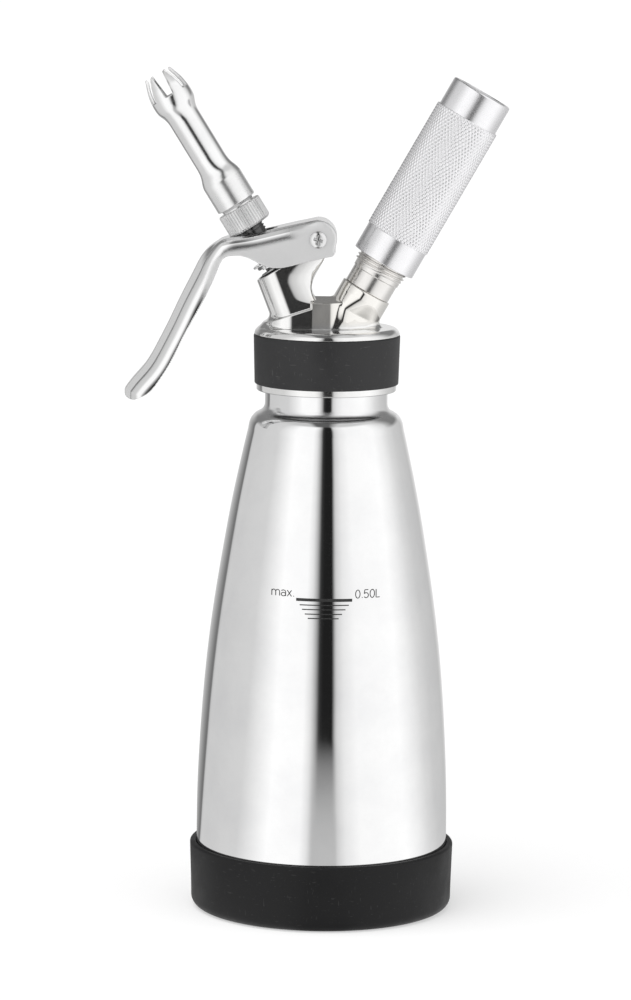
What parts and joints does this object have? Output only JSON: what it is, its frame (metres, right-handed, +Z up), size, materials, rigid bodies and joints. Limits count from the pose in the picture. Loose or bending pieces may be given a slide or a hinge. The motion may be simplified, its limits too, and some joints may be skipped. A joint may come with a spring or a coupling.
{
  "type": "whipped cream dispenser",
  "caption": "Double-walled steel whipped cream dispenser with a lever valve, star nozzle, knurled gas charger holder, and black silicone ring and boot.",
  "frame": {"origin": "middle of the boot's underside, on the bottle's axis", "axes": "+Z up along the bottle, +X towards the charger holder, -Y towards the user (the side with the fill mark)"},
  "size_m": [0.15, 0.105, 0.334],
  "materials": {
    "polished_steel": "mirror polished stainless steel",
    "steel": "bright stainless steel",
    "satin_steel": "satin, straight knurled",
    "steel_pin": "polished",
    "spring_steel": "drawn wire",
    "nickel": "nickel plated, polished",
    "charger_steel": "plain bright steel",
    "satin_aluminium": "satin, diamond knurled",
    "black_silicone": "matte",
    "seal_silicone": "soft, matte",
    "seal_rubber": "matte",
    "resin": "matte",
    "getter": "matte"
  },
  "bodies": {
    "bottle": {"outer_shell": "polished_steel", "inner_vessel": "steel", "shell_base_disc": "steel", "vacuum_seal_plug": "resin", "getter_pad": "getter", "rubber_boot": "black_silicone"},
    "gasket_ring": {"head_gasket": "seal_silicone"},
    "head": {"head_cap": "polished_steel", "grip_ring": "black_silicone", "pivot_pin": "steel_pin", "pivot_cap": "steel_pin", "valve_spring": "spring_steel", "inlet_stud": "nickel", "inlet_gasket": "seal_rubber", "piercing_pin": "steel_pin", "charger_seal": "seal_rubber", "non_return_valve": "seal_rubber"},
    "lever": {"lever": "polished_steel"},
    "stem": {"valve_stem": "steel", "spring_cap": "steel", "stem_o_ring": "seal_rubber", "valve_seal": "seal_silicone", "valve_retainer": "steel"},
    "nozzle_washer": {"nozzle_gasket": "seal_rubber"},
    "nozzle": {"nozzle_nut": "satin_steel", "nozzle_tulip": "polished_steel"},
    "charger": {"gas_charger": "charger_steel"},
    "holder": {"charger_holder": "satin_aluminium"}
  },
  "joints": [
    {"name": "head_lift", "type": "slide", "parent": "bottle", "child": "gasket_ring", "axis": [0, 0, 1], "range_m": [0, 0.01]},
    {"name": "head_turn", "type": "hinge", "parent": "gasket_ring", "child": "head", "pos_m": [0, 0, 0.218], "axis": [0, 0, 1], "range_deg": [0, 900]},
    {"name": "lever_press", "type": "hinge", "parent": "head", "child": "lever", "pos_m": [-0.0039, 0, 0.2675], "axis": [0, -1, 0], "range_deg": [0, 10], "stiffness_Nm_per_rad": 2, "springref_deg": -5.73},
    {"name": "stem_slide", "type": "slide", "parent": "head", "child": "stem", "axis": [0.5299, 0, -0.848], "range_m": [0, 0.0033], "deforming": ["valve_spring"]},
    {"name": "nozzle_lift", "type": "slide", "parent": "stem", "child": "nozzle_washer", "axis": [-0.5299, 0, 0.848], "range_m": [0, 0.00563]},
    {"name": "nozzle_turn", "type": "hinge", "parent": "nozzle_washer", "child": "nozzle", "pos_m": [-0.0299, 0, 0.2707], "axis": [-0.5299, 0, 0.848], "range_deg": [0, 1620]},
    {"name": "holder_lift", "type": "slide", "parent": "head", "child": "charger", "axis": [0.4924, 0, 0.8704], "range_m": [0, 0.0091]},
    {"name": "holder_turn", "type": "hinge", "parent": "charger", "child": "holder", "pos_m": [0.0223, 0, 0.2588], "axis": [0.4924, 0, 0.8704], "range_deg": [0, 2160]}
  ],
  "couplings": [
    {"joint": "head_lift", "follows": "head_turn", "m_per_rad": 0.00063662},
    {"joint": "stem_slide", "follows": "lever_press", "m_per_rad": 0.0188},
    {"joint": "nozzle_lift", "follows": "nozzle_turn", "m_per_rad": 0.00019894},
    {"joint": "holder_lift", "follows": "holder_turn", "m_per_rad": 0.00023873}
  ]
}
